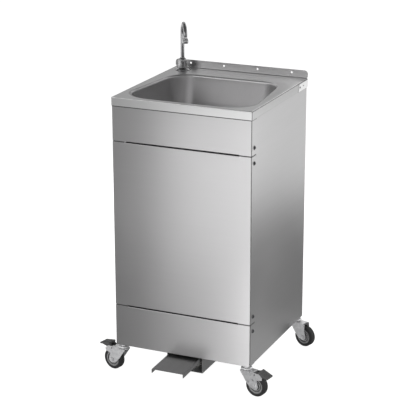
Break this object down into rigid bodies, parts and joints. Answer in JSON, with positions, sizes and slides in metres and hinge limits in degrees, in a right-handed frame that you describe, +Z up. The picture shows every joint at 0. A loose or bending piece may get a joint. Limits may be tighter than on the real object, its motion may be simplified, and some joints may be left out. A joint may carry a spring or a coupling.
{
  "type": "portable handwash sink",
  "caption": "Stainless handwash sink cabinet on swivel casters, with a deep pressed bowl, swan-neck tap, rear upstand and foot pedal.",
  "frame": {"origin": "centre of the whole object's footprint, on the floor", "axes": "+Z up; the pedal and bowl face -Y, the upstand is at +Y, and +X is the right-hand side of a person at the sink"},
  "size_m": [0.6462, 0.6274, 1.1552],
  "materials": {
    "stainless": "satin brushed stainless sheet",
    "pressed_bowl": "satin pressed stainless",
    "chrome": "bright chrome plate",
    "zinc": "bright zinc plate",
    "dark_screw": "black oxide",
    "pedal_steel": "dull folded steel",
    "tyre_rubber": "matt black rubber",
    "wheel_plastic": "dark grey moulded",
    "brake_plastic": "dark grey textured",
    "white_plastic": "white moulded",
    "tank_plastic": "milky blow-moulded",
    "waste_tank_plastic": "grey blow-moulded",
    "blue_plastic": "blue moulded",
    "dark_plastic": "black moulded",
    "hose_plastic": "translucent hose",
    "waste_hose_plastic": "grey corrugated hose",
    "brass": "machined brass",
    "seal_rubber": "black rubber"
  },
  "bodies": {
    "cabinet": {"worktop": "stainless", "bowl": "pressed_bowl", "drain_flange": "stainless", "strainer_plate": "stainless", "drain_gasket": "seal_rubber", "drain_nut": "white_plastic", "tailpiece": "white_plastic", "waste_hose": "waste_hose_plastic", "tap_escutcheon": "chrome", "tap_body": "chrome", "tap_shank": "brass", "tap_nut": "brass", "supply_hose": "hose_plastic", "left_side_panel": "stainless", "right_side_panel": "stainless", "base_plate": "stainless", "rear_top_rail": "stainless", "rear_bottom_rail": "stainless", "apron_panel": "stainless", "main_panel": "stainless", "kick_panel": "stainless", "panel_screws": "dark_screw", "rail_screws": "zinc", "pedal_housing": "pedal_steel", "housing_screws": "zinc", "pedal_pin": "zinc", "pedal_bushes": "white_plastic", "pedal_spring": "zinc", "pump_body": "white_plastic", "pump_cover": "blue_plastic", "suction_hose": "hose_plastic", "hose_clips": "zinc", "fresh_tank": "tank_plastic", "fresh_tank_cap": "blue_plastic", "waste_tank": "waste_tank_plastic", "waste_tank_cap": "dark_plastic", "caster_stems": "zinc", "caster_nuts": "zinc"},
    "spout": {"tap_spout": "chrome", "tap_aerator": "chrome"},
    "pedal": {"foot_pedal": "pedal_steel"},
    "plunger": {"pump_plunger": "white_plastic"},
    "fork_fl": {"caster_fl_fork": "zinc", "caster_fl_axle": "zinc"},
    "wheel_fl": {"caster_fl_rim": "wheel_plastic", "caster_fl_tyre": "tyre_rubber"},
    "brake_fl": {"caster_fl_brake": "brake_plastic"},
    "fork_fr": {"caster_fr_fork": "zinc", "caster_fr_axle": "zinc"},
    "wheel_fr": {"caster_fr_rim": "wheel_plastic", "caster_fr_tyre": "tyre_rubber"},
    "brake_fr": {"caster_fr_brake": "brake_plastic"},
    "fork_rl": {"caster_rl_fork": "zinc", "caster_rl_axle": "zinc"},
    "wheel_rl": {"caster_rl_rim": "wheel_plastic", "caster_rl_tyre": "tyre_rubber"},
    "fork_rr": {"caster_rr_fork": "zinc", "caster_rr_axle": "zinc"},
    "wheel_rr": {"caster_rr_rim": "wheel_plastic", "caster_rr_tyre": "tyre_rubber"}
  },
  "joints": [
    {"name": "spout_swivel", "type": "hinge", "parent": "cabinet", "child": "spout", "pos_m": [-0.20299, 0.26544, 1.06], "axis": [0, 0, 1], "range_deg": [-90, 90]},
    {"name": "pedal_hinge", "type": "hinge", "parent": "cabinet", "child": "pedal", "pos_m": [-0.00049, 0.00844, 0.084], "axis": [1, 0, 0], "range_deg": [0, 8], "stiffness_Nm_per_rad": 10, "springref_deg": -20.05, "deforming": ["pedal_spring"]},
    {"name": "plunger_slide", "type": "slide", "parent": "cabinet", "child": "plunger", "axis": [0, 0, -1], "range_m": [0, 0.0155]},
    {"name": "swivel_fl", "type": "hinge", "parent": "cabinet", "child": "fork_fl", "pos_m": [-0.23049, -0.17856, 0.086], "axis": [0, 0, 1], "continuous": true},
    {"name": "wheel_spin_fl", "type": "hinge", "parent": "fork_fl", "child": "wheel_fl", "pos_m": [-0.27041, -0.1692, 0.0375], "axis": [-0.2284, -0.9736, 0], "continuous": true},
    {"name": "brake_lever_fl", "type": "hinge", "parent": "fork_fl", "child": "brake_fl", "pos_m": [-0.26943, -0.16943, 0.0796], "axis": [-0.2284, -0.9736, 0], "range_deg": [0, 14]},
    {"name": "swivel_fr", "type": "hinge", "parent": "cabinet", "child": "fork_fr", "pos_m": [0.22951, -0.17856, 0.086], "axis": [0, 0, 1], "continuous": true},
    {"name": "wheel_spin_fr", "type": "hinge", "parent": "fork_fr", "child": "wheel_fr", "pos_m": [0.26994, -0.1854, 0.0375], "axis": [0.1668, 0.986, 0], "continuous": true},
    {"name": "brake_lever_fr", "type": "hinge", "parent": "fork_fr", "child": "brake_fr", "pos_m": [0.26895, -0.18523, 0.0796], "axis": [0.1668, 0.986, 0], "range_deg": [-14, 0]},
    {"name": "swivel_rl", "type": "hinge", "parent": "cabinet", "child": "fork_rl", "pos_m": [-0.23049, 0.29344, 0.086], "axis": [0, 0, 1], "continuous": true},
    {"name": "wheel_spin_rl", "type": "hinge", "parent": "fork_rl", "child": "wheel_rl", "pos_m": [-0.27044, 0.28422, 0.0375], "axis": [0.225, -0.9744, 0], "continuous": true},
    {"name": "swivel_rr", "type": "hinge", "parent": "cabinet", "child": "fork_rr", "pos_m": [0.22951, 0.29344, 0.086], "axis": [0, 0, 1], "continuous": true},
    {"name": "wheel_spin_rr", "type": "hinge", "parent": "fork_rr", "child": "wheel_rr", "pos_m": [0.26886, 0.28193, 0.0375], "axis": [0.2807, 0.9598, 0], "continuous": true}
  ],
  "couplings": [
    {"joint": "plunger_slide", "follows": "pedal_hinge", "m_per_rad": 0.1101}
  ]
}
